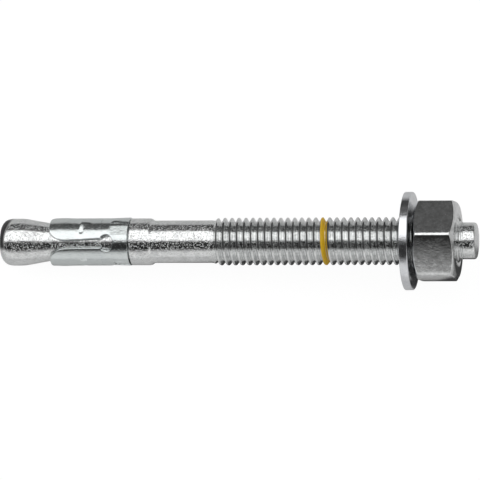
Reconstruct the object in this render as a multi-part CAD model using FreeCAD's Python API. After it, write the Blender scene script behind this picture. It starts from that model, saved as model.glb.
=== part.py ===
import FreeCAD
import Part
import math
import os

from FreeCAD import Vector

# Wedge anchor, M12 by about 119 mm, in millimetres. It lies along X: the cone end is at -X
# and the nut end at +X, with +Z up. The origin is the middle of the washer's bearing face.

# Lengths along the axis, one after the other from the nut end to the cone end
dog_length = 3.9
thread_past_nut = 0.7
nut_height = 10.35
nut_washer_gap = 0.7
washer_thickness = 2.1
thread_behind_washer = 46.8
thread_run_out = 1.6
shank_length = 14.5
shoulder_length = 0.75
collar_length = 4.9
clip_end_gap = 0.25
clip_length = 20.0
clip_tip_past_neck = 0.9
cone_head_length = 5.75

# The drilled hole that the anchor fits, and the play that each part of it has there
hole_radius = 6.0
thread_hole_play = 0.09
collar_hole_play = 0.18
cone_hole_play = 0.135
clip_hole_play = 0.12

# How far the shank and the dog point lie below the thread's crests
shank_step = 0.65
dog_step = 1.38

# Rolled right-hand thread, with straight steps along its crest and root lines
thread_pitch = 1.75
thread_depth = 1.05
thread_steps = 16
thread_last_crest = 0.76

# Tapers, edges and corners of the bolt
cone_half_angle = 10.0
cone_corner_radius = 2.7
cone_corner_steps = 3
collar_edge = 0.3
thread_chamfer = 1.0
dog_edge = 0.25

# Expansion clip, rolled from one strip of sheet into three lobes
lobe_count = 3
clip_wall = 1.35
clip_fit = 0.08
clip_turn = 3.0
clip_tip_edge = 0.45
clip_flare = 0.17
clip_flare_length = 5.2
slot_half_width = 1.15
seam_half_width = 0.5
lobe_corner_radius = 4.0
keyhole_length = 3.0
keyhole_half_width = 2.2
keyhole_from_end = 3.8

# Marks pressed outwards through the sheet of each lobe
nib_from_tip = 8.1
nib_length = 2.6
nib_width = 4.6
rib_length = 4.6
rib_width = 1.7
rib_slope_length = 1.4

# Washer
washer_radius = 12.1
washer_bore_play = 0.6
washer_edge = 0.25

# Hexagon nut
nut_across_flats = 18.92
nut_turn = -8.6
nut_bore_play = 0.07
nut_bore_chamfer = 0.6
nut_chamfer_angle = 30.0
nut_chamfer_start_radius = 8.9

# Radii that follow from the hole and the fits
thread_major_radius = hole_radius - thread_hole_play
thread_root_radius = thread_major_radius - thread_depth
shank_radius = thread_major_radius - shank_step
dog_radius = thread_major_radius - dog_step
collar_radius = hole_radius - collar_hole_play
cone_head_radius = hole_radius - cone_hole_play
clip_outer_radius = hole_radius - clip_hole_play
clip_inner_radius = clip_outer_radius - clip_wall
neck_radius = clip_inner_radius - clip_fit

# Places along the axis that follow from the lengths
nut_start_x = washer_thickness + nut_washer_gap
nut_end_x = nut_start_x + nut_height
thread_end_x = nut_end_x + thread_past_nut
dog_end_x = thread_end_x + dog_length
thread_full_x = -thread_behind_washer
thread_start_x = thread_full_x - thread_run_out
shoulder_right_x = thread_start_x - shank_length
collar_right_x = shoulder_right_x - shoulder_length
collar_left_x = collar_right_x - collar_length
clip_right_x = collar_left_x - clip_end_gap
clip_tip_x = clip_right_x - clip_length
neck_start_x = clip_tip_x + clip_tip_past_neck
cone_rise = math.tan(math.radians(cone_half_angle))
cone_start_x = neck_start_x - (cone_head_radius - neck_radius) / cone_rise
cone_end_x = cone_start_x - cone_head_length

# Radii that follow from the cone's rise and the nut's fits
clip_tip_inner_radius = clip_inner_radius + clip_tip_past_neck * cone_rise
nut_bore_radius = thread_major_radius + nut_bore_play
nut_corner_radius = nut_across_flats / 2 / math.cos(math.radians(30))

axis_start = Vector(0, 0, 0)
axis_direction = Vector(1, 0, 0)


def straight(start, end):
    """Straight edge between two (x, radius) points of a turned outline."""
    return Part.makeLine(Vector(start[0], 0, start[1]), Vector(end[0], 0, end[1]))


def turned(outline):
    """Solid of revolution about the axis from the (x, radius) corners of its outline."""
    edges = [straight(start, end) for start, end in zip(outline, outline[1:] + outline[:1])]
    return Part.Face(Part.Wire(edges)).revolve(axis_start, axis_direction, 360)


def turned_about_axis(shape, degrees):
    """Copy of a shape, turned about the axis."""
    copy = shape.copy()
    copy.rotate(axis_start, axis_direction, degrees)
    return copy


def cone_corner():
    """The large corner of the cone end, turned in straight steps round its radius."""
    points = []
    for step in range(cone_corner_steps + 1):
        angle = math.radians(90 * step / cone_corner_steps)
        x = cone_end_x + cone_corner_radius * (1 - math.cos(angle))
        radius = cone_head_radius - cone_corner_radius * (1 - math.sin(angle))
        points.append((x, radius))
    return points


def on_ring(step, x, radius):
    """Point on a ring round the axis, a number of thread steps on from straight up."""
    angle = math.radians(360 * (step % thread_steps) / thread_steps)
    return Vector(x, radius * math.sin(angle), radius * math.cos(angle))


def on_thread(step, line_radius, pitches_behind):
    """Point on the thread's crest line or root line, so many steps round it.

    The lines grow out of the shank, the chamfer cuts them down, and they end at both rings.
    """
    last_crest_x = thread_end_x - thread_last_crest
    x = last_crest_x - thread_pitch * (step / thread_steps + pitches_behind)
    x = min(max(x, thread_start_x), thread_end_x)
    growth = min((x - thread_start_x) / thread_run_out, 1)
    grown = shank_radius + (line_radius - shank_radius) * growth
    chamfer_rise = (thread_major_radius - dog_radius) / thread_chamfer
    return on_ring(step, x, min(grown, dog_radius + (thread_end_x - x) * chamfer_rise))


def facet(corners):
    """Flat triangle as a list of one face, or no face where two corners fall together."""
    first, second, third = corners
    if first.isEqual(second, 1e-6) or second.isEqual(third, 1e-6) or third.isEqual(first, 1e-6):
        return []
    return [Part.Face(Part.makePolygon([first, second, third, first]))]


def thread_end_face(x, radius):
    """Flat face with as many sides as the thread has steps."""
    corners = [on_ring(step, x, radius) for step in range(thread_steps)]
    return Part.Face(Part.makePolygon(corners + corners[:1]))


def rolled_thread():
    """The threaded length: two flanks of flat triangles wind between the crest and root lines."""
    turns = math.ceil((thread_end_x - thread_start_x) / thread_pitch) + 1
    faces = [
        thread_end_face(thread_start_x, shank_radius),
        thread_end_face(thread_end_x, dog_radius),
    ]
    for step in range(-2 * thread_steps, turns * thread_steps):
        crest = on_thread(step, thread_major_radius, 0)
        next_crest = on_thread(step + 1, thread_major_radius, 0)
        root = on_thread(step, thread_root_radius, 0.5)
        next_root = on_thread(step + 1, thread_root_radius, 0.5)
        root_ahead = on_thread(step, thread_root_radius, -0.5)
        next_root_ahead = on_thread(step + 1, thread_root_radius, -0.5)
        faces += facet([crest, next_crest, next_root])
        faces += facet([crest, next_root, root])
        faces += facet([crest, root_ahead, next_crest])
        faces += facet([root_ahead, next_root_ahead, next_crest])
    shell = Part.makeShell(faces)
    shell.sewShape()
    return Part.Solid(shell.Shells[0])


def anchor_bolt():
    """The one-piece bolt: cone end, neck, collar, shank, rolled thread, dog point."""
    body = [
        (cone_end_x, 0),
        *cone_corner(),
        (cone_start_x, cone_head_radius),
        (neck_start_x, neck_radius),
        (collar_left_x, neck_radius),
        (collar_left_x, collar_radius - collar_edge),
        (collar_left_x + collar_edge, collar_radius),
        (collar_right_x, collar_radius),
        (shoulder_right_x, shank_radius),
        (thread_start_x, shank_radius),
        (thread_start_x, 0),
    ]
    dog_point = [
        (thread_end_x, 0),
        (thread_end_x, dog_radius),
        (dog_end_x - dog_edge, dog_radius),
        (dog_end_x, dog_radius - dog_edge),
        (dog_end_x, 0),
    ]
    return turned(body).multiFuse([rolled_thread(), turned(dog_point)])


def clip_ring():
    """The rolled strip before it is slotted, with its tips eased and its other end flared."""
    flare_start_x = clip_right_x - clip_flare_length
    outside = [
        (clip_tip_x, clip_outer_radius - clip_tip_edge),
        (clip_tip_x + clip_tip_edge, clip_outer_radius),
        (flare_start_x, clip_outer_radius),
        (clip_right_x, clip_outer_radius + clip_flare),
    ]
    inside = [
        (clip_right_x, clip_inner_radius + clip_flare),
        (flare_start_x, clip_inner_radius),
        (neck_start_x, clip_inner_radius),
        (clip_tip_x, clip_tip_inner_radius),
    ]
    return turned(outside + inside)


def on_sheet(x, around, height):
    """Point at a height above the axis, on the radial line through a place on the sheet.

    The place is a distance round the clip's outer surface from straight up.
    """
    angle = around / clip_outer_radius
    return Vector(x, height * math.tan(angle), height)


def sheet_cutter(edge_points):
    """Cutter with radial walls from an outline that is drawn flat on the sheet.

    The outline is a list of edges, each with two points for a straight edge or three for an arc.
    """
    wires = []
    for height in (neck_radius / 2, clip_outer_radius * 1.5):
        edges = []
        for points in edge_points:
            places = [on_sheet(x, around, height) for x, around in points]
            if len(places) == 3:
                edges.append(Part.Arc(*places).toShape())
            else:
                edges.append(Part.makeLine(*places))
        wires.append(Part.Wire(edges))
    return Part.makeLoft(wires, True, True)


def mirrored(edge_points):
    """The same edges on the other side of the slot, in the order that closes the outline."""
    return [[(x, -around) for x, around in reversed(points)] for points in reversed(edge_points)]


def mouth_edges(half_width):
    """One side of a slot's mouth, where the rounded corner of a lobe begins."""
    nose = half_width + lobe_corner_radius
    reach = lobe_corner_radius * (1 - math.sqrt(0.5))
    outside = (clip_tip_x - clip_tip_edge, nose)
    corner_start = (clip_tip_x, nose)
    corner_middle = (clip_tip_x + reach, half_width + reach)
    corner_end = (clip_tip_x + lobe_corner_radius, half_width)
    return [[outside, corner_start], [corner_start, corner_middle, corner_end]]


def closed_outline(side):
    """Closes one side of a slot with its mirror image across the mouth."""
    mouth_start = side[0][0]
    mouth_end = (mouth_start[0], -mouth_start[1])
    return side + mirrored(side) + [[mouth_end, mouth_start]]


def keyhole_cutter():
    """Slot that ends in a wide round hole, so that the lobes can bend outwards."""
    hole_end_x = clip_right_x - keyhole_from_end
    hole_middle_x = hole_end_x - keyhole_length / 2
    hole_start = (hole_end_x - keyhole_length, slot_half_width)
    hole_side = (hole_middle_x, keyhole_half_width)
    hole_end = (hole_end_x, 0)
    rise = keyhole_half_width - slot_half_width
    quarter = math.sqrt(0.5)
    rising = (hole_middle_x - keyhole_length / 2 * quarter, slot_half_width + rise * quarter)
    falling = (hole_middle_x + keyhole_length / 2 * quarter, keyhole_half_width * quarter)
    side = mouth_edges(slot_half_width)
    side.append([side[-1][-1], hole_start])
    side.append([hole_start, rising, hole_side])
    side.append([hole_side, falling, hole_end])
    return sheet_cutter(closed_outline(side))


def seam_cutter():
    """Open seam along the whole clip, where the two edges of the rolled strip meet."""
    past_end = clip_right_x + clip_end_gap / 2
    side = mouth_edges(seam_half_width)
    side.append([side[-1][-1], (past_end, seam_half_width)])
    side.append([(past_end, seam_half_width), (past_end, 0)])
    return sheet_cutter(closed_outline(side))


def raised_band(ridge, surface_radius):
    """Band round the axis under a ridge line, from halfway into the sheet."""
    floor_radius = surface_radius - clip_wall / 2
    outline = ridge + [(ridge[-1][0], floor_radius), (ridge[0][0], floor_radius)]
    return turned(outline)


def nib(surface_radius):
    """Short ridge across the middle of a lobe, pointed at both ends, as high as the flare."""
    middle_x = clip_tip_x + nib_from_tip
    start_x = middle_x - nib_length / 2
    end_x = middle_x + nib_length / 2
    ridge = [
        (start_x, surface_radius),
        (middle_x, surface_radius + clip_flare),
        (end_x, surface_radius),
    ]
    side = [
        [(start_x, nib_width / 4), (middle_x, nib_width / 2)],
        [(middle_x, nib_width / 2), (end_x, nib_width / 4)],
        [(end_x, nib_width / 4), (end_x, 0)],
    ]
    return raised_band(ridge, surface_radius).common(sheet_cutter(closed_outline(side)))


def rib(surface_radius):
    """Rib that widens to the flared end and keeps the clip from turning in its hole."""
    end_x = clip_right_x
    start_x = end_x - rib_length
    ridge = [
        (start_x, surface_radius),
        (start_x + rib_slope_length, surface_radius + clip_flare),
        (end_x, surface_radius + clip_flare),
    ]
    side = [
        [(start_x, rib_width / 4), (end_x, rib_width / 2)],
        [(end_x, rib_width / 2), (end_x, 0)],
    ]
    return raised_band(ridge, surface_radius).common(sheet_cutter(closed_outline(side)))


def expansion_clip():
    """The clip: two keyhole slots and the seam part it into lobes, each with its marks."""
    clip = clip_ring()
    lobe_step = 360 / lobe_count
    for lobe in range(lobe_count):
        middle = clip_turn - lobe_step * (lobe + 0.5)
        raised = nib(clip_outer_radius).fuse(rib(clip_outer_radius))
        pressed = nib(clip_inner_radius)
        clip = clip.fuse(turned_about_axis(raised, middle))
        clip = clip.cut(turned_about_axis(pressed, middle))
    for lobe in range(lobe_count - 1):
        clip = clip.cut(turned_about_axis(keyhole_cutter(), clip_turn - lobe_step * lobe))
    return clip.cut(turned_about_axis(seam_cutter(), clip_turn + lobe_step))


def flat_washer():
    """Flat washer, loose on the thread, with its outer edges eased."""
    bore_radius = thread_major_radius + washer_bore_play
    outline = [
        (0, bore_radius),
        (0, washer_radius - washer_edge),
        (washer_edge, washer_radius),
        (washer_thickness - washer_edge, washer_radius),
        (washer_thickness, washer_radius - washer_edge),
        (washer_thickness, bore_radius),
    ]
    return turned(outline)


def nut_corner_cutter():
    """Turned shape that leaves the nut's corners cut back to a circle on both faces."""
    drop = (nut_corner_radius - nut_chamfer_start_radius) * math.tan(math.radians(nut_chamfer_angle))
    outline = [
        (nut_start_x, 0),
        (nut_start_x, nut_chamfer_start_radius),
        (nut_start_x + drop, nut_corner_radius),
        (nut_end_x - drop, nut_corner_radius),
        (nut_end_x, nut_chamfer_start_radius),
        (nut_end_x, 0),
    ]
    return turned(outline)


def nut_bore():
    """Bore that clears the thread's crests, with a chamfer at each mouth."""
    mouth_radius = nut_bore_radius + nut_bore_chamfer
    outline = [
        (nut_start_x, 0),
        (nut_start_x, mouth_radius),
        (nut_start_x + nut_bore_chamfer, nut_bore_radius),
        (nut_end_x - nut_bore_chamfer, nut_bore_radius),
        (nut_end_x, mouth_radius),
        (nut_end_x, 0),
    ]
    return turned(outline)


def hex_nut():
    """Hexagon nut with one corner turned a little away from straight up."""
    corners = []
    for corner in range(6):
        angle = math.radians(60 * corner)
        across = nut_corner_radius * math.sin(angle)
        up = nut_corner_radius * math.cos(angle)
        corners.append(Vector(nut_start_x, across, up))
    blank = Part.Face(Part.makePolygon(corners + corners[:1])).extrude(axis_direction * nut_height)
    nut = blank.common(nut_corner_cutter()).cut(nut_bore())
    return turned_about_axis(nut, nut_turn)


def main():
    os.makedirs("parts", exist_ok=True)
    pieces = {
        "anchor_bolt": anchor_bolt(),
        "expansion_clip": expansion_clip(),
        "flat_washer": flat_washer(),
        "hex_nut": hex_nut(),
    }
    for name, shape in pieces.items():
        shape.exportStep("parts/" + name + ".step")
        print(name, len(shape.Solids), "solid", round(shape.Volume, 2), "mm3", shape.isValid())


main()
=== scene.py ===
import math

import bmesh
import bpy
import numpy as np
from mathutils import Matrix


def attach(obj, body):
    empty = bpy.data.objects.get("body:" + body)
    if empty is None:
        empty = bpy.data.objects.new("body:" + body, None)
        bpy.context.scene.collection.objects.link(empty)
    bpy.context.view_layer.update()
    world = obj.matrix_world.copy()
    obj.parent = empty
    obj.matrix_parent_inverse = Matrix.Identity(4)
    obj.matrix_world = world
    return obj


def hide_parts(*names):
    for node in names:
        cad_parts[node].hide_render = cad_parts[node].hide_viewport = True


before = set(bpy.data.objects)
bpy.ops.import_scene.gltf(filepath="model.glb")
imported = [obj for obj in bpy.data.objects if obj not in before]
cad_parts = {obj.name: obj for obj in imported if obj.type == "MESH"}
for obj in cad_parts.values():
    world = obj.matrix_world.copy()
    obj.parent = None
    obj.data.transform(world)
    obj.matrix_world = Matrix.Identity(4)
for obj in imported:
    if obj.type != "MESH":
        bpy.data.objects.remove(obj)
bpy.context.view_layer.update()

mm = 0.001
fullTurn = 2 * math.pi
mergeWithin = 0.002  # millimetres
sameSpot = 1e-6  # millimetres
sharpAngle = math.radians(38)
print("frame loaded, nodes:", sorted(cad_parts))


# Shapes. Every point is (x, y, z) in millimetres. The bolt's axis is x, and an angle round it
# starts at straight up (+z) and grows towards +y.

def evenAngles(count):
    return np.arange(count) * fullTurn / count


def smooth(value):
    # 3 v^2 - 2 v^3, held at 0 and 1 outside that range
    value = np.clip(value, 0, 1)
    return value * value * (3 - 2 * value)


def roundAxis(x, radius, angle):
    # point = (x, radius * sin(angle), radius * cos(angle))
    x, radius, angle = np.broadcast_arrays(x, radius, angle)
    return np.stack([x, radius * np.sin(angle), radius * np.cos(angle)], axis=-1)


def softened(corners, softness, steps=3, closed=False):
    # Rounds an outline of (x, radius) corners. A and B lie "softness" away from corner C on its
    # two sides, and C gives way to the curve (1-t)^2 A + 2t(1-t) C + t^2 B.
    corners = np.asarray(corners, float)
    softness = np.asarray(softness, float).reshape([-1] + [1] * (corners.ndim - 1))
    before = np.roll(corners, 1, axis=0)
    after = np.roll(corners, -1, axis=0)
    if not closed:
        before[0], after[-1] = corners[0], corners[-1]

    def stepTo(other):
        away = other - corners
        length = np.linalg.norm(away, axis=-1, keepdims=True)
        return corners + away / np.maximum(length, sameSpot) * np.minimum(softness, length)

    first, last = stepTo(before), stepTo(after)
    t = np.linspace(0, 1, steps + 1).reshape([1, -1] + [1] * (corners.ndim - 1))
    curve = (
        (1 - t) ** 2 * first[:, None] + 2 * t * (1 - t) * corners[:, None] + t**2 * last[:, None]
    )
    outline = curve.reshape((-1,) + corners.shape[1:])
    if closed:
        outline = np.concatenate([outline, outline[:1]])
    step = np.abs(np.diff(outline, axis=0)).reshape(len(outline) - 1, -1).max(axis=1)
    return outline[np.insert(step > sameSpot, 0, True)]


def turnedGrid(outline, angles):
    # the outline turned round the axis: one row per (x, radius) station, one column per angle
    return roundAxis(outline[:, :1], outline[:, 1:], np.append(angles, angles[0] + fullTurn))


def threadGrid(ridge, angles, lowX, highX, shapeRadius):
    # A right-hand thread as one ribbon wound round the axis. Along the ribbon runs the angle,
    # across it the ridge's outline (offset, radius) over one pitch:
    # x = crestX - pitch * angle / fullTurn + offset. Each turn's edge meets the next turn's.
    # Beyond lowX and highX the ribbon folds onto the plain rings there.
    pitch, crestX = thread["pitch"], thread["crestX"]
    firstTurn = math.floor((crestX - highX) / pitch - 0.5)
    lastTurn = math.ceil((crestX - lowX) / pitch + 0.5)
    turns = np.arange(firstTurn, lastTurn)[:, None] * fullTurn + angles[None, :]
    along = np.append(turns.ravel(), lastTurn * fullTurn + angles[0])[:, None]
    x = np.clip(crestX - pitch * along / fullTurn + ridge[None, :, 0], lowX, highX)
    return roundAxis(x, shapeRadius(x, ridge[None, :, 1]), along)


def addObject(name, data):
    item = bpy.data.objects.new(name, data)
    bpy.context.scene.collection.objects.link(item)
    return item


def meshFromGrids(name, grids, body, node):
    # Joins grids of points into one closed mesh: each grid's neighbours make its quads, shared
    # edges merge, faces point outwards, and edges past the sharp angle stay crisp.
    points, quads, start = [], [], 0
    for grid in grids:
        rows, columns = grid.shape[:2]
        index = start + np.arange(rows * columns).reshape(rows, columns)
        cell = np.stack([index[:-1, :-1], index[:-1, 1:], index[1:, 1:], index[1:, :-1]], axis=-1)
        points.append(grid.reshape(-1, 3))
        quads.append(cell.reshape(-1, 4))
        start += rows * columns
    mesh = bpy.data.meshes.new(name)
    mesh.from_pydata((np.concatenate(points) * mm).tolist(), [], np.concatenate(quads).tolist())
    work = bmesh.new()
    work.from_mesh(mesh)
    bmesh.ops.remove_doubles(work, verts=work.verts, dist=mergeWithin * mm)
    bmesh.ops.recalc_face_normals(work, faces=work.faces)
    openEdges = sum(not edge.is_manifold for edge in work.edges)
    work.to_mesh(mesh)
    work.free()
    mesh.shade_smooth()
    mesh.set_sharp_from_angle(angle=sharpAngle)
    piece = addObject(name, mesh)
    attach(piece, body)
    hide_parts(node)
    print("made", name, len(mesh.polygons), "faces,", openEdges, "open edges")
    return piece


# Bolt. The rounding lengths say how far from its corner each rounding starts.

bolt = {
    "columns": 96,
    "coneEndX": -101.67, "coneHead": 5.865, "coneStartX": -95.92,
    "neckStartX": -87.90, "neck": 4.45,
    "collarLeftX": -68.55, "collarRightX": -63.65, "collar": 5.82,
    "shoulderX": -62.90, "shank": 5.26,
    "runOutX": -48.4, "runOut": 2.2,
    "chamferX": 12.85, "threadEndX": 13.85, "dogEndX": 17.75, "dog": 4.53,
    "coneEndRound": 3.105, "coneStartRound": 1.2, "neckStartRound": 0.8, "collarFootRound": 0.12,
    "collarLeftRound": 0.32, "collarRightRound": 0.35, "shoulderRound": 0.3, "dogRound": 0.85,
}
# a thread's two radii, the half width of its flat at each, and how far the corners there are rounded
thread = {
    "pitch": 1.75, "crestX": -20.16,
    "outer": 5.91, "outerHalf": 0.17, "outerRound": 0.17,
    "inner": 4.86, "innerHalf": 0.1, "innerRound": 0.1,
}


def threadRidge(shape, steps):
    # one pitch of a thread as (offset, radius): half of the inner flat, a flank up to the outer
    # flat, a flank down again, and the other half of the inner flat
    half = thread["pitch"] / 2
    inner, outer = shape["inner"], shape["outer"]
    innerEnd, outerEnd = half - shape["innerHalf"], shape["outerHalf"]
    return softened(
        [
            (-half, inner), (-innerEnd, inner), (-outerEnd, outer),
            (outerEnd, outer), (innerEnd, inner), (half, inner),
        ],
        [0, shape["innerRound"], shape["outerRound"], shape["outerRound"], shape["innerRound"], 0],
        steps,
    )


def boltShape():
    b, t = bolt, thread
    angles = evenAngles(b["columns"])
    left = softened(
        [
            (b["coneEndX"], 0), (b["coneEndX"], b["coneHead"]),
            (b["coneStartX"], b["coneHead"]), (b["neckStartX"], b["neck"]),
            (b["collarLeftX"], b["neck"]), (b["collarLeftX"], b["collar"]),
            (b["collarRightX"], b["collar"]), (b["shoulderX"], b["shank"]),
            (b["runOutX"], b["shank"]),
        ],
        [
            0, b["coneEndRound"], b["coneStartRound"], b["neckStartRound"], b["collarFootRound"],
            b["collarLeftRound"], b["collarRightRound"], b["shoulderRound"], 0,
        ],
        steps=7,
    )
    right = softened(
        [(b["threadEndX"], b["dog"]), (b["dogEndX"], b["dog"]), (b["dogEndX"], 0)],
        [0, b["dogRound"], 0], steps=8,
    )

    def shapeRadius(x, radius):
        # the thread grows out of the shank over the run-out, and the end chamfer cuts it down
        grown = b["shank"] + (radius - b["shank"]) * smooth((x - b["runOutX"]) / b["runOut"])
        slope = (t["outer"] - b["dog"]) / (b["threadEndX"] - b["chamferX"])
        return np.minimum(grown, np.maximum(b["dog"], t["outer"] - (x - b["chamferX"]) * slope))

    return [
        turnedGrid(left, angles),
        threadGrid(threadRidge(t, steps=4), angles, b["runOutX"], b["threadEndX"], shapeRadius),
        turnedGrid(right, angles),
    ]


boltPiece = meshFromGrids("boltBody", boltShape(), "bolt", "anchor_bolt")


# Expansion clip: one strip of sheet, with a place on it given as x and the distance round its
# outer surface, rolled up by angle = distance / outer radius

clip = {
    "tipX": -88.80, "endX": -68.80, "outer": 5.88, "inner": 4.53,
    # counted from 0; the seam lies where its lobe starts, and a keyhole slot where the others do
    "lobes": 3, "seamLobe": 2, "turn": math.radians(-3),
    "columns": 72, "evenShare": 0.45, "slotSteps": (8, 6, 12, 7),
    "edge": 0.17, "edgeSteps": 4, "corner": 4.0, "cornerSteps": 12, "holeSteps": 8, "ringSteps": 20,
    "slotHalf": 1.0, "slotEndHalf": 1.22, "seamHalf": 0.5,
    "holeEndX": -72.55, "holeLength": 3.0, "holeHalf": 2.2,
    # the slots lean round the bolt before leanFromX, and the inside falls back before reliefX, so
    # that the tips ride on the cone; both are per millimetre along x
    "leanFromX": -74.4, "lean": math.radians(0.36), "reliefX": -87.9, "relief": 0.1763,
    "crownX": -85.65, "crownHalf": 3.15, "crown": 0.09,
    "flareX": -74.0, "flare": 0.17,
    # across a pressed mark, from the side that lies lower: distance from the lobe's middle and
    # the share of the mark's height there; the nib also gets shorter along x by nibTaper to the
    # millimetre of that distance, and no shorter than nibLeast of its length
    "nibX": -80.75, "nibLeft": 0.9, "nibRight": 2.5, "nib": 0.3, "nibTaper": 0.25, "nibLeast": 0.4,
    "nibAcross": [(-4.8, 0), (-3.6, -0.5), (-3.0, -1.0), (-0.6, 1), (1.5, 1), (2.3, 0)],
    "ribX": -73.4, "ribRise": 1.0, "rib": 0.17, "ribStart": 0.55,
    "ribAcross": [(-1.02, 0), (-0.86, -1.1), (0.5, 1), (0.86, 1), (1.02, 0)],
    # the flat that the press leaves beside the rib, as angles from the lobe's middle
    "flatX": -73.9, "flatRun": 0.7, "flatMiddle": math.radians(-28), "flatHalf": math.radians(14),
}


def sheetPoint(x, around, middle, depth, edgeDrop):
    # depth 0 is the outer surface and 1 the inner one. The pressed marks are added to the plain
    # radius: height * (share along x) * (share across the lobe), which is below 0 in a dent.
    c = clip
    flare = c["flare"] * np.clip((x - c["flareX"]) / (c["endX"] - c["flareX"]), 0, 1)
    crown = c["crown"] * smooth(1 - np.abs(x - c["crownX"]) / c["crownHalf"])
    side = around - middle
    narrowing = np.clip(1 - c["nibTaper"] * np.abs(side), c["nibLeast"], 1)
    fromNib = (x - c["nibX"]) / np.where(x < c["nibX"], c["nibLeft"], c["nibRight"])
    nib = np.clip(1 - np.abs(fromNib) / narrowing, 0, 1)
    nib = c["nib"] * nib * np.interp(side, *zip(*c["nibAcross"]))
    along = np.clip((x - c["ribX"]) / (c["endX"] - c["ribX"]), 0, 1)
    rib = np.interp(side / (c["ribStart"] + (1 - c["ribStart"]) * along), *zip(*c["ribAcross"]))
    rib = rib * smooth((x - c["ribX"]) / c["ribRise"])
    rib = c["rib"] * np.where(rib > 0, rib * (1 - flare / c["flare"]), rib)
    # flat: radius * (cos(half angle) / cos(angle from its middle) - 1), 0 outside the half angle
    fromFlat = np.abs(side / c["outer"] - c["flatMiddle"])
    flat = c["outer"] * (math.cos(c["flatHalf"]) / np.cos(np.minimum(fromFlat, c["flatHalf"])) - 1)
    flat = flat * smooth((x - c["flatX"]) / c["flatRun"])
    relief = c["relief"] * np.clip(c["reliefX"] - x, 0, None)
    outside = c["outer"] + crown + flare + rib + nib + flat - edgeDrop
    inside = c["inner"] + flare + np.clip(nib, 0, None) + relief + edgeDrop
    lean = c["lean"] * np.clip(x - c["leanFromX"], None, 0)
    return roundAxis(x, np.where(depth > 0.5, inside, outside), around / c["outer"] + lean)


def stepsBetween(start, end, steps):
    return np.linspace(start, end, steps + 1)[1:]


def slotRows():
    # x and half-width of both kinds of slot, row by row: the lobe's rounded corner, the straight
    # slot, the keyhole's rising and falling quarter, then the closed ring behind it
    c = clip
    quarter = np.linspace(0, math.pi / 2, c["cornerSteps"] + 1)
    corner = c["corner"] * (1 - np.sin(quarter))
    holeMiddle = c["holeEndX"] - c["holeLength"] / 2
    stations = [
        c["tipX"] + c["corner"], c["nibX"] - c["nibLeft"], c["nibX"], c["nibX"] + c["nibRight"],
        c["holeEndX"] - c["holeLength"],
    ]
    straight = np.concatenate([
        stepsBetween(*span) for span in zip(stations, stations[1:], c["slotSteps"])
    ])
    bend = stepsBetween(0, math.pi / 2, c["holeSteps"])
    ring = stepsBetween(c["holeEndX"], c["endX"], c["ringSteps"])
    rising = holeMiddle - c["holeLength"] / 2 * np.cos(bend)
    falling = holeMiddle + c["holeLength"] / 2 * np.sin(bend)
    x = np.concatenate([
        c["tipX"] + c["corner"] * (1 - np.cos(quarter)), straight, rising, falling, ring,
    ])
    widening = np.linspace(c["slotHalf"], c["slotEndHalf"], len(straight))
    keyhole = np.concatenate([
        c["slotHalf"] + corner, widening,
        c["slotEndHalf"] + (c["holeHalf"] - c["slotEndHalf"]) * np.sin(bend),
        c["holeHalf"] * np.cos(bend), np.zeros(len(ring)),
    ])
    seam = np.concatenate([c["seamHalf"] + corner, np.full(len(x) - len(corner), c["seamHalf"])])
    return x, keyhole, seam, len(x) - len(ring) - 1


def insetRows(x, half, closingRow):
    # the same rows, moved into the sheet by the edge's rounding, square to the slot's edge
    edge = clip["edge"]
    last = len(x) - 1 if closingRow is None else closingRow
    insetX, insetHalf = x.copy(), half.copy()
    runX, runHalf = np.gradient(x[:last + 1]), np.gradient(half[:last + 1])
    length = np.hypot(runX, runHalf)
    insetX[:last + 1] -= runHalf / length * edge
    insetHalf[:last + 1] += runX / length * edge
    insetX[0] = x[0] + edge
    if closingRow is not None:
        insetX[last], insetHalf[last] = x[last] + edge, 0
    insetX[-1] = x[-1] - edge
    return insetX, insetHalf


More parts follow.
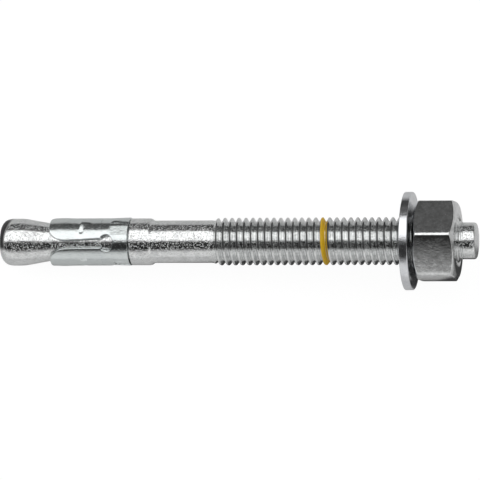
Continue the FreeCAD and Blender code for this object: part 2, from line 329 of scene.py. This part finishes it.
def clipShape():
    c = clip
    x, keyhole, seam, closingRow = slotRows()
    lobeWidth = fullTurn * c["outer"] / c["lobes"]
    # the columns lie evenly by one share and by the third power, dense in the middle, by the rest
    across = np.linspace(-1, 1, c["columns"] + 1)
    across = c["evenShare"] * across + (1 - c["evenShare"]) * across**3
    across = (0.5 + 0.5 * across)[None, :]
    roll = np.linspace(0, math.pi / 2, c["edgeSteps"] + 1)
    inward = np.concatenate([1 - np.sin(roll), 1 - np.sin(roll[::-1])])[None, :]
    drop = c["edge"] * np.concatenate([1 - np.cos(roll), 1 - np.cos(roll[::-1])])[None, :]
    depth = np.repeat([0.0, 1.0], len(roll))[None, :]
    grids = []
    for lobe in range(c["lobes"]):
        start = c["turn"] * c["outer"] + lobeWidth * lobe
        middle = start + lobeWidth / 2
        sides = []
        for edgeAt, direction, isSeam in (
            (start, 1, lobe == c["seamLobe"]), (start + lobeWidth, -1, lobe + 1 == c["seamLobe"]),
        ):
            half = seam if isSeam else keyhole
            closing = None if isSeam else closingRow
            insetX, insetHalf = insetRows(x, half, closing)
            edgeLine = np.stack([x, edgeAt + direction * half], axis=-1)
            insetLine = np.stack([insetX, edgeAt + direction * insetHalf], axis=-1)
            sides.append((edgeLine, insetLine, len(x) if isSeam else closingRow + 1))

        def wall(edgeLine, insetLine):
            # rolls over the outer edge, runs down the cut face and rolls over the inner edge
            place = edgeLine[:, None] + (insetLine - edgeLine)[:, None] * inward[..., None]
            return sheetPoint(place[..., 0], place[..., 1], middle, depth, drop)

        def between(row, which):
            first, last = sides[0][which][row], sides[1][which][row]
            return first + (last - first) * across[0][:, None]

        first, last = sides[0][1], sides[1][1]
        sheet = first[:, None] + (last - first)[:, None] * across[..., None]
        grids.append(sheetPoint(sheet[..., 0], sheet[..., 1], middle, 0.0, 0.0))
        grids.append(sheetPoint(sheet[..., 0], sheet[..., 1], middle, 1.0, 0.0))
        for edgeLine, insetLine, rows in sides:
            grids.append(wall(edgeLine[:rows], insetLine[:rows]))
        grids.append(wall(between(0, 0), between(0, 1)))
        grids.append(wall(between(-1, 0), between(-1, 1)))
    return grids


clipPiece = meshFromGrids("clipSheet", clipShape(), "clip", "expansion_clip")


# Washer

washer = {
    "columns": 144, "thickness": 2.1, "outer": 12.1, "bore": 6.51,
    "leftRound": 0.22, "rightRound": 0.42, "boreRound": 0.25,
}


def washerShape():
    w = washer
    outline = softened(
        [(0, w["bore"]), (0, w["outer"]), (w["thickness"], w["outer"]), (w["thickness"], w["bore"])],
        [w["boreRound"], w["leftRound"], w["rightRound"], w["boreRound"]], steps=5, closed=True,
    )
    return [turnedGrid(outline, evenAngles(w["columns"]))]


washerPiece = meshFromGrids("washerRing", washerShape(), "washer", "flat_washer")


# Nut

nut = {
    "startX": 2.8, "endX": 13.15, "acrossFlats": 18.92, "turn": math.radians(8.6),
    "chamferFrom": 8.9, "chamferAngle": math.radians(30), "faceRound": 0.1, "chamferRound": 0.26,
    "mouth": 0.6, "mouthSlope": 1.1, "cornerPower": 50, "crown": 0.16,
    "cornerSteps": [0, 0.4, 0.9, 1.6, 2.6, 4.2, 7, 10, 14, 18, 22, 26],  # degrees from a corner
}
nutThread = {
    "outer": 5.98, "outerHalf": 0.09, "outerRound": 0.08,
    "inner": 5.12, "innerHalf": 0.19, "innerRound": 0.06,
}


def nutAngles():
    # dense near the six corners, and the same from both sides of each
    near = np.array(nut["cornerSteps"], float)
    sixth = np.concatenate([near, [30], 60 - near[:0:-1]])
    return nut["turn"] + np.radians((np.arange(6)[:, None] * 60 + sixth[None, :]).ravel())


def hexRadius(angles):
    # distance to six flats, blended so that the corners come out a little round:
    # 1 / r = (sum of (cos(angle to a flat) / half width)^p)^(1/p)
    # less a slight crown that the pressed flats have: crown * (distance from middle / half)^2
    flats = nut["turn"] + np.radians(30 + 60 * np.arange(6))
    away = np.abs((angles[:, None] - flats[None, :] + math.pi) % fullTurn - math.pi)
    facing = np.clip(np.cos(away), 0, None) / (nut["acrossFlats"] / 2)
    plain = (facing ** nut["cornerPower"]).sum(axis=1) ** (-1 / nut["cornerPower"])
    fromMiddle = np.tan(away.min(axis=1)) / math.tan(math.radians(30))
    return plain - nut["crown"] * fromMiddle**2


def nutShape():
    n = nut
    angles = nutAngles()
    around = np.append(angles, angles[0] + fullTurn)
    hexSide = hexRadius(around)
    plain = np.ones_like(around)
    drop = (hexSide - n["chamferFrom"]) * math.tan(n["chamferAngle"])
    mouth = nutThread["outer"] + n["mouth"]
    spots = [
        (n["startX"] * plain, mouth * plain), (n["startX"] * plain, n["chamferFrom"] * plain),
        (n["startX"] + drop, hexSide), (n["endX"] - drop, hexSide),
        (n["endX"] * plain, n["chamferFrom"] * plain), (n["endX"] * plain, mouth * plain),
    ]
    corners = np.stack([np.stack(spot, axis=-1) for spot in spots])
    rounding = [0, n["faceRound"], n["chamferRound"], n["chamferRound"], n["faceRound"], 0]
    outline = softened(corners, rounding, steps=5)

    def shapeRadius(x, radius):
        # the mouths are cones that cut the thread away at both ends
        inFrom = np.minimum(x - n["startX"], n["endX"] - x)
        return np.maximum(radius, mouth - inFrom * n["mouthSlope"])

    ridge = threadRidge(nutThread, steps=2)
    return [
        roundAxis(outline[..., 0], outline[..., 1], around[None, :]),
        threadGrid(ridge, angles, n["startX"], n["endX"], shapeRadius),
    ]


nutPiece = meshFromGrids("nutBody", nutShape(), "nut", "hex_nut")


# Finishes. Patterns read Object coordinates, turned into millimetres, and the finishes' mottle,
# grain and pitGrain are how many patches of each pattern lie along a millimetre.

plating = {
    # the part of a noise's range that shows, and how much of the tone is mottle; the rest is grain
    "noiseLow": 0.3, "noiseHigh": 0.7, "mottleShare": 0.6,
    # each noise's detail and how rough that detail is
    "mottleDetail": (3.0, 0.6), "grainDetail": (4.0, 0.65), "scratchDetail": (2.0, 0.5),
    "pitDetail": (1.0, 0.5),
    "scratchTurn": (0.4, 0.2, 0.9), "scratchStretch": (0.5, 9, 9), "scratchRough": 0.2,
    "scratchFrom": 0.60, "scratchTo": 0.68, "pitFrom": 0.57, "pitTo": 0.68,
    "bumpDepth": 0.08 * mm,
}
boltFinish = {
    "light": (0.84, 0.85, 0.845), "dark": (0.64, 0.65, 0.65),
    "mottle": 0.5, "grain": 1.1, "roughLow": 0.04, "roughHigh": 0.11,
    "bump": 0.6, "scratch": 0.05, "pitGrain": 3.1, "pits": 1.1,
    "threadSmoother": 0.5,
}
clipFinish = {
    "light": (0.715, 0.75, 0.745), "dark": (0.635, 0.67, 0.67),
    "mottle": 0.3, "grain": 0.9, "roughLow": 0.11, "roughHigh": 0.22,
    "bump": 0.35, "scratch": 0.1, "pitGrain": 2.2, "pits": 0.4,
}
washerFinish = {
    "light": (0.79, 0.80, 0.82), "dark": (0.65, 0.66, 0.685),
    "mottle": 0.4, "grain": 1.2, "roughLow": 0.12, "roughHigh": 0.24,
    "bump": 0.25, "scratch": 0.1, "pitGrain": 0.9, "pits": 0.2,
}
nutFinish = {
    "light": (0.87, 0.88, 0.88), "dark": (0.54, 0.545, 0.54),
    "mottle": 0.6, "grain": 1.3, "roughLow": 0.07, "roughHigh": 0.15,
    "bump": 0.22, "scratch": 0.1, "pitGrain": 2.0, "pits": 0.25,
}


class NodeBench:
    # short hands for adding and joining nodes
    def __init__(self, tree):
        self.tree = tree
        tree.nodes.clear()

    def add(self, kind, inputs=None, **settings):
        node = self.tree.nodes.new(kind)
        for name, value in settings.items():
            setattr(node, name, value)
        for name, value in (inputs or {}).items():
            if isinstance(value, bpy.types.NodeSocket):
                self.tree.links.new(value, node.inputs[name])
            else:
                node.inputs[name].default_value = value
        return node

    def math(self, operation, first, second=None, third=None, clamp=False):
        inputs = {0: first}
        if second is not None:
            inputs[1] = second
        if third is not None:
            inputs[2] = third
        return self.add("ShaderNodeMath", inputs, operation=operation, use_clamp=clamp).outputs[0]

    def spread(self, value, low, high, toLow=0.0, toHigh=1.0):
        inputs = {"Value": value, 1: low, 2: high, 3: toLow, 4: toHigh}
        return self.add("ShaderNodeMapRange", inputs, interpolation_type="SMOOTHSTEP").outputs[0]

    def within(self, value, rise, fall, height=1.0):
        # 0, up to the height over the rise, then down to 0 again over the fall
        up = self.spread(value, *rise)
        return self.math("MULTIPLY", up, self.spread(value, *fall, height, 0.0))

    def placeInMm(self):
        place = self.add("ShaderNodeTexCoord").outputs["Object"]
        scale = (1 / mm,) * 3
        return self.add("ShaderNodeMapping", {"Vector": place, "Scale": scale}).outputs[0]

    def split(self, vector):
        return self.add("ShaderNodeSeparateXYZ", {"Vector": vector}).outputs

    def noise(self, vector, scale, detail, roughness):
        inputs = {"Vector": vector, "Scale": scale, "Detail": detail, "Roughness": roughness}
        return self.add("ShaderNodeTexNoise", inputs).outputs[0]

    def mixColour(self, factor, first, second):
        inputs = {0: factor, 6: first, 7: second}
        return self.add("ShaderNodeMix", inputs, data_type="RGBA").outputs[2]


def opaque(colour):
    return (*colour, 1.0)


def grey(level):
    return opaque((level,) * 3)


def zincMaterial(name, finish):
    # Plated steel: slow mottling of the colour, fine grain in colour, roughness and bump, hair
    # scratches and small pits. Returns the bench and the sockets that a piece may still change.
    p = plating
    material = bpy.data.materials.new(name)
    material.use_nodes = True
    bench = NodeBench(material.node_tree)
    place = bench.placeInMm()
    mottle = bench.noise(place, finish["mottle"], *p["mottleDetail"])
    grain = bench.noise(place, finish["grain"], *p["grainDetail"])
    stretched = bench.add("ShaderNodeMapping", {
        "Vector": place, "Rotation": p["scratchTurn"], "Scale": p["scratchStretch"],
    }).outputs[0]
    scratch = bench.noise(stretched, 1.0, *p["scratchDetail"])
    scratch = bench.spread(scratch, p["scratchFrom"], p["scratchTo"])
    shown = p["noiseLow"], p["noiseHigh"]
    tone = bench.math(
        "ADD", bench.spread(mottle, *shown, 0.0, p["mottleShare"]),
        bench.spread(grain, *shown, 0.0, 1 - p["mottleShare"]),
    )
    colour = bench.mixColour(tone, opaque(finish["dark"]), opaque(finish["light"]))
    rough = bench.spread(grain, *shown, finish["roughLow"], finish["roughHigh"])
    rough = bench.math("MULTIPLY_ADD", scratch, finish["scratch"] * p["scratchRough"], rough)
    height = bench.math("MULTIPLY_ADD", scratch, -finish["scratch"], grain)
    pits = bench.noise(place, finish["pitGrain"], *p["pitDetail"])
    pits = bench.spread(pits, p["pitFrom"], p["pitTo"])
    height = bench.math("MULTIPLY_ADD", pits, -finish["pits"], height)
    return material, bench, {
        "place": place, "colour": colour, "rough": rough, "height": height, "grain": grain,
    }


def finishMaterial(piece, material, bench, sockets, finish, metallic=1.0):
    bump = bench.add("ShaderNodeBump", {
        "Height": sockets["height"], "Strength": finish["bump"], "Distance": plating["bumpDepth"],
    }).outputs[0]
    shader = bench.add("ShaderNodeBsdfPrincipled", {
        "Base Color": sockets["colour"], "Roughness": sockets["rough"],
        "Metallic": metallic, "Normal": bump,
    }).outputs[0]
    bench.add("ShaderNodeOutputMaterial", {"Surface": shader})
    piece.data.materials.clear()
    piece.data.materials.append(material)


paint = {
    "colour": (0.90, 0.57, 0.011), "shade": (0.72, 0.41, 0.004),
    # the shift of its middle from the crest, its half width, and its edge's wandering and softness
    "middle": 0.36, "half": 0.5, "ragged": 0.16, "soft": 0.05, "rough": 0.5,
    # the flanks up to this far from its middle are dull, so they mirror no second yellow line
    "besideFrom": 1.9, "besideTo": 2.0, "beside": 0.25,
}
# the x where the turning rings start and are full, and where they fade and are gone
rings = {"rise": (12.8, 13.0), "fall": (14.4, 15.0), "pitch": 0.42}
# painted shade: its dark colour, and where it darkens the bolt: a dark reflection on the cone end's
# rim, shade at the thread's roots and a dark line along its crests
paintedShade = {
    "colour": 0.025,
    # a painted dark reflection on the cone end's upper rim reaches to rimX + rimBend * y^2, fades
    # away from its middle and starts past an inner radius
    "rimX": -100.15, "rimBend": 0.045, "rimSoft": 0.35,
    "rimMiddleY": 2.0, "rimFade": (3.1, 4.4), "rimInner": (3.2, 4.2),
    # where the thread's own look sets in, past the run-out's start, and stops, before its end
    "threadRise": (0.6, 1.6), "threadFall": 0.4,
    # a faint painted shade at the root, and a painted dark reflection line along the crest, which
    # shows only between two heights in y
    "valley": 0.08, "valleyFrom": 0.02, "valleyTo": 0.16,
    "seam": 0.88, "crestShadeFrom": 0.14, "crestShadeTo": 0.08, "crestShadeRise": (-2.1, -1.5), "crestShadeFall": (4.4, 5.0),
}


def paintFields(bench, x, angle, grain):
    # distance along the axis from the middle of the painted turn, following the helix:
    # x + pitch * angle / fullTurn - place of the crest - shift to the paint's middle
    fromPaint = bench.math("MULTIPLY_ADD", angle, thread["pitch"] / fullTurn, x)
    fromPaint = bench.math("ADD", fromPaint, -thread["crestX"] - paint["middle"])
    wander = bench.math("MULTIPLY_ADD", grain, paint["ragged"], fromPaint)
    wander = bench.math("ABSOLUTE", bench.math("ADD", wander, -paint["ragged"] / 2))
    half, soft = paint["half"], paint["soft"]
    painted = bench.spread(wander, half - soft, half + soft, 1.0, 0.0)
    beside = bench.math("ABSOLUTE", fromPaint)
    beside = bench.spread(beside, paint["besideFrom"], paint["besideTo"], paint["beside"], 0.0)
    return painted, beside


def paintedRimDarkness(bench, x, y, radius):
    # a painted dark reflection on the upper rim of the cone end
    g = paintedShade
    bent = bench.math("MULTIPLY_ADD", bench.math("MULTIPLY", y, y), -g["rimBend"], x)
    rim = bench.spread(bent, g["rimX"] - g["rimSoft"], g["rimX"] + g["rimSoft"], 1.0, 0.0)
    fromMiddle = bench.math("ABSOLUTE", bench.math("ADD", y, -g["rimMiddleY"]))
    rim = bench.math("MULTIPLY", rim, bench.spread(fromMiddle, *g["rimFade"], 1.0, 0.0))
    return bench.math("MULTIPLY", rim, bench.spread(radius, *g["rimInner"]))


def threadFields(bench, x, y, radius):
    # where the thread is, and how much painted shade darkens its roots and crests
    g = paintedShade
    rise = [bolt["runOutX"] + length for length in g["threadRise"]]
    fall = bolt["threadEndX"] - g["threadFall"], bolt["threadEndX"]
    threaded = bench.within(x, rise, fall)
    inner, outer = thread["inner"], thread["outer"]
    # painted shade at the thread's root
    valley = bench.spread(
        radius, inner + g["valleyFrom"], inner + g["valleyTo"], g["valley"], 0.0,
    )
    # a painted dark reflection line along the crest, only between two heights in y
    seam = bench.spread(radius, outer - g["crestShadeFrom"], outer - g["crestShadeTo"])
    seen = bench.within(y, g["crestShadeRise"], g["crestShadeFall"], g["seam"])
    dark = bench.math("MAXIMUM", valley, bench.math("MULTIPLY", seam, seen))
    return threaded, bench.math("MULTIPLY", dark, threaded)


def boltMaterial():
    material, bench, s = zincMaterial("boltZinc", boltFinish)
    x, y, z = bench.split(s["place"])
    radius = bench.math("MULTIPLY_ADD", y, y, bench.math("MULTIPLY", z, z))
    radius = bench.math("SQRT", radius)
    painted, beside = paintFields(bench, x, bench.math("ARCTAN2", y, z), s["grain"])
    rim = paintedRimDarkness(bench, x, y, radius)
    threaded, paintedDarkness = threadFields(bench, x, y, radius)
    paintedDarkness = bench.math("MAXIMUM", rim, paintedDarkness)
    # the metal is darkened towards the dark colour by painted shade: the rim's dark reflection, the
    # thread's root shade and its crest line
    metal = bench.mixColour(paintedDarkness, s["colour"], grey(paintedShade["colour"]))
    paintTone = bench.mixColour(s["grain"], opaque(paint["shade"]), opaque(paint["colour"]))
    s["colour"] = bench.mixColour(painted, metal, paintTone)
    # rolling leaves the thread smoother than the rest
    plain = bench.math("MULTIPLY", threaded, boltFinish["threadSmoother"])
    plain = bench.math("SUBTRACT", 1.0, plain)
    s["height"] = bench.math("MULTIPLY", s["height"], plain)
    s["rough"] = bench.math("MULTIPLY", s["rough"], plain)
    # turning rings on the thread's end chamfer and on the start of the dog point
    lines = bench.math("SINE", bench.math("MULTIPLY", x, fullTurn / rings["pitch"]))
    turned = bench.within(x, rings["rise"], rings["fall"])
    s["height"] = bench.math("MULTIPLY_ADD", lines, turned, s["height"])
    matt = bench.math("MAXIMUM", bench.math("MAXIMUM", painted, paintedDarkness), beside)
    matt = bench.math("MULTIPLY", matt, paint["rough"])
    s["rough"] = bench.math("MAXIMUM", s["rough"], matt)
    # the yellow paint and the rim's painted dark reflection are not metal
    metallic = bench.math("SUBTRACT", 1.0, bench.math("MAXIMUM", painted, rim))
    finishMaterial(boltPiece, material, bench, s, boltFinish, metallic)


boltMaterial()
for piece, name, finish in (
    (clipPiece, "clipZinc", clipFinish), (washerPiece, "washerZinc", washerFinish),
    (nutPiece, "nutZinc", nutFinish),
):
    finishMaterial(piece, *zincMaterial(name, finish), finish)
print("finishes on")


# Studio: a pale floor that the anchor lies on, and a room of soft light and dark bands above it

floor = {
    "half": 4000, "washerLow": -12.1, "coneX": -98.97, "coneLow": -5.865,
    "glow": 0.95, "shade": 0.11,
    # what reflections find on the floor: a pale sheet with painted shade on it, dim far off on the
    # +y side, and a painted dark strip of shade close under the anchor
    "colour": 0.74, "glossyShare": 0.15, "dim": (32, 60, 1.0, 0.1),
    # the strip's upper edge is the sum of two, each as (from x, to x, y before, y after), and so
    # is its lower edge; past the bolt's end the strip fades, as (from x, to x, before, after)
    "stripUpper": (-60, 0, 3.5, 8.0), "stripUpperEnd": (7, 12, 0.0, -10.0),
    "stripLower": (-90, -40, -3.0, -12.5), "stripLowerEnd": (5, 12, 0.0, -5.0),
    "stripFade": (18, 20, 0.0, 0.34), "stripSoft": 1.6, "strip": 0.12,
}


def floorMesh():
    # a plane that touches the washer's rim and the cone end: z = washer's low + slope * x
    f = floor
    slope = (f["washerLow"] - f["coneLow"]) / (0 - f["coneX"])
    reach = np.array([-f["half"], f["half"]])
    x, y = np.meshgrid(reach, reach, indexing="ij")
    points = np.stack([x, y, f["washerLow"] + slope * x], axis=-1).reshape(-1, 3) * mm
    mesh = bpy.data.meshes.new("floor")
    mesh.from_pydata(points.tolist(), [], [[0, 2, 3, 1]])
    return mesh


def floorMaterial():
    f = floor
    material = bpy.data.materials.new("paleFloor")
    material.use_nodes = True
    bench = NodeBench(material.node_tree)
    x, y, z = bench.split(bench.placeInMm())
    # painted shade on the floor that reflections see: dim far off on the +y side
    far = bench.spread(y, *f["dim"])
    upper = bench.math(
        "ADD", bench.spread(x, *f["stripUpper"]), bench.spread(x, *f["stripUpperEnd"]),
    )
    lower = bench.math(
        "ADD", bench.spread(x, *f["stripLower"]), bench.spread(x, *f["stripLowerEnd"]),
    )
    above, below = bench.math("SUBTRACT", y, upper), bench.math("SUBTRACT", lower, y)
    beyond = bench.math("MAXIMUM", above, below)
    # painted shade in a strip close under the anchor, which fades past the bolt's end
    under = bench.spread(beyond, -f["stripSoft"], f["stripSoft"], f["strip"], 1.0)
    under = bench.math("MAXIMUM", under, bench.spread(x, *f["stripFade"]))
    paintedFloorShade = bench.math("MULTIPLY", far, under)
    sheet = bench.mixColour(paintedFloorShade, grey(0.0), grey(f["colour"]))
    matt = bench.add("ShaderNodeBsdfDiffuse", {"Color": sheet}).outputs[0]
    faint = bench.add("ShaderNodeBsdfDiffuse", {"Color": grey(f["shade"])}).outputs[0]
    glow = bench.add("ShaderNodeEmission", {"Strength": f["glow"]}).outputs[0]
    lit = bench.add("ShaderNodeAddShader", {0: faint, 1: glow}).outputs[0]
    # the camera sees the lit floor, and reflections see a share of it
    rays = bench.add("ShaderNodeLightPath").outputs
    seen = bench.math("ADD", rays["Is Camera Ray"], rays["Is Transmission Ray"])
    share = bench.math("MULTIPLY", paintedFloorShade, f["glossyShare"])
    seen = bench.math("MULTIPLY_ADD", rays["Is Glossy Ray"], share, seen, clamp=True)
    both = bench.add("ShaderNodeMixShader", {0: seen, 1: matt, 2: lit}).outputs[0]
    bench.add("ShaderNodeOutputMaterial", {"Surface": both})
    return material


def buildFloor():
    floorPiece = addObject("floor", floorMesh())
    floorPiece.data.materials.append(floorMaterial())


room = {
    # angle from straight up towards +y in degrees, and the light from there
    "bands": [
        (-90, 0.83), (-60, 0.77), (-53, 0.66), (-49, 0.42), (-46.5, 0.25), (-41, 0.19),
        (-39, 0.03), (-9, 0.025), (-4, 0.07), (4, 0.25), (9, 1.45), (58, 1.45), (62, 0.115),
        (90, 0.115),
    ],
    "brightest": 2.5,
    # how far along the bolt the bands reach, as the x of the direction, and the light past that
    "left": (-0.97, -0.86), "right": (0.88, 1.0), "endLight": 0.03,
}


def buildRoom():
    r = room
    world = bpy.data.worlds.new("studioRoom")
    bpy.context.scene.world = world
    world.use_nodes = True
    bench = NodeBench(world.node_tree)
    towards = bench.add("ShaderNodeTexCoord").outputs["Generated"]
    x, y, z = bench.split(towards)
    place = bench.math(
        "MULTIPLY_ADD", bench.math("ARCTAN2", y, z), 1 / math.pi, 0.5, clamp=True,
    )
    ramp = bench.add("ShaderNodeValToRGB", {"Fac": place})
    stops = ramp.color_ramp.elements
    for spot, light in r["bands"][1:-1]:
        stops.new((spot + 90) / 180)
    for stop, (spot, light) in zip(stops, r["bands"]):
        stop.position = (spot + 90) / 180
        stop.color = grey(light / r["brightest"])
    reach = bench.within(x, r["left"], r["right"])
    dim = grey(r["endLight"] / r["brightest"])
    light = bench.mixColour(reach, dim, ramp.outputs[0])
    backdrop = bench.add(
        "ShaderNodeBackground", {"Color": light, "Strength": r["brightest"]},
    ).outputs[0]
    bench.add("ShaderNodeOutputWorld", {"Surface": backdrop})


# The camera's lens and sensor are millimetres too.

view = {
    "aim": (-41.4, 0.37, 0.0), "distance": 1200, "farthest": 20000,
    "yaw": math.radians(10.5), "roll": math.radians(0.17), "lens": 363.6, "sensor": 36,
}


def buildCamera():
    # it looks down on the anchor with +y at the top, turned about y by the yaw, then rolled
    v = view
    back = np.array([math.sin(v["yaw"]), 0, math.cos(v["yaw"])])
    side = np.array([math.cos(v["yaw"]), 0, -math.sin(v["yaw"])])
    up = np.array([0.0, 1.0, 0.0])
    right = side * math.cos(v["roll"]) - up * math.sin(v["roll"])
    top = up * math.cos(v["roll"]) + side * math.sin(v["roll"])
    spot = (np.array(v["aim"]) + back * v["distance"]) * mm
    data = bpy.data.cameras.new("camera")
    data.lens = v["lens"]
    data.sensor_width = v["sensor"]
    data.clip_end = v["farthest"] * mm
    camera = addObject("camera", data)
    pose = np.eye(4)
    pose[:3, 0], pose[:3, 1], pose[:3, 2], pose[:3, 3] = right, top, back, spot
    camera.matrix_world = Matrix(pose.tolist())
    bpy.context.scene.camera = camera


buildFloor()
buildRoom()
buildCamera()
bpy.context.scene.view_settings.view_transform = "Standard"
print("studio and camera set")
